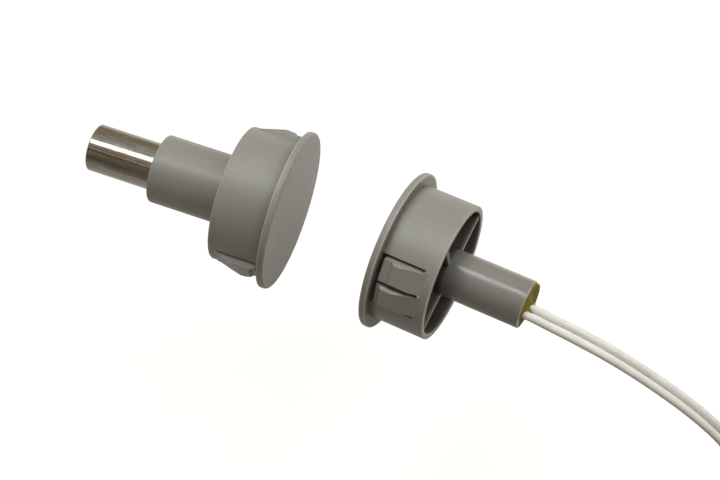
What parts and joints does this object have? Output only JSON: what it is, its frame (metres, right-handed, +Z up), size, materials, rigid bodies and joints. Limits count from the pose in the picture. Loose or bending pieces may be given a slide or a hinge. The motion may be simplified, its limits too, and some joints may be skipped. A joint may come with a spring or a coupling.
{
  "type": "recessed magnetic contact",
  "caption": "Recessed magnetic contact: a snap-in switch half with white leads from its potted tube, and a matching magnet half with a bright rod in its sleeve.",
  "frame": {"origin": "centre of the switch flange's front face", "axes": "+X along the switch axis, from the front face towards the tube and the leads; +Z up"},
  "size_m": [0.1504, 0.0302, 0.071],
  "materials": {
    "grey_plastic": "fine-grained semi-gloss moulding",
    "amber_resin": "cast, glossy, see-through amber",
    "clear_glass": "clear",
    "reed_alloy": "plated",
    "solder": "bright",
    "tinned_copper": "tinned",
    "white_insulation": "satin",
    "tie_plastic": "satin",
    "plated_magnet": "satin nickel plating"
  },
  "bodies": {
    "root": {"switch_housing": "grey_plastic", "magnet_housing": "grey_plastic", "potting": "amber_resin", "reed_glass": "clear_glass", "reed_blade_front": "reed_alloy", "reed_blade_rear": "reed_alloy", "solder_front": "solder", "solder_rear": "solder", "conductor_a": "tinned_copper", "conductor_b": "tinned_copper", "lead_tail_a": "white_insulation", "lead_tail_b": "white_insulation", "lead_a": "white_insulation", "lead_b": "white_insulation", "lead_coil": "white_insulation", "coil_tie": "tie_plastic", "bare_end_a": "tinned_copper", "bare_end_b": "tinned_copper", "magnet": "plated_magnet"}
  },
  "joints": []
}
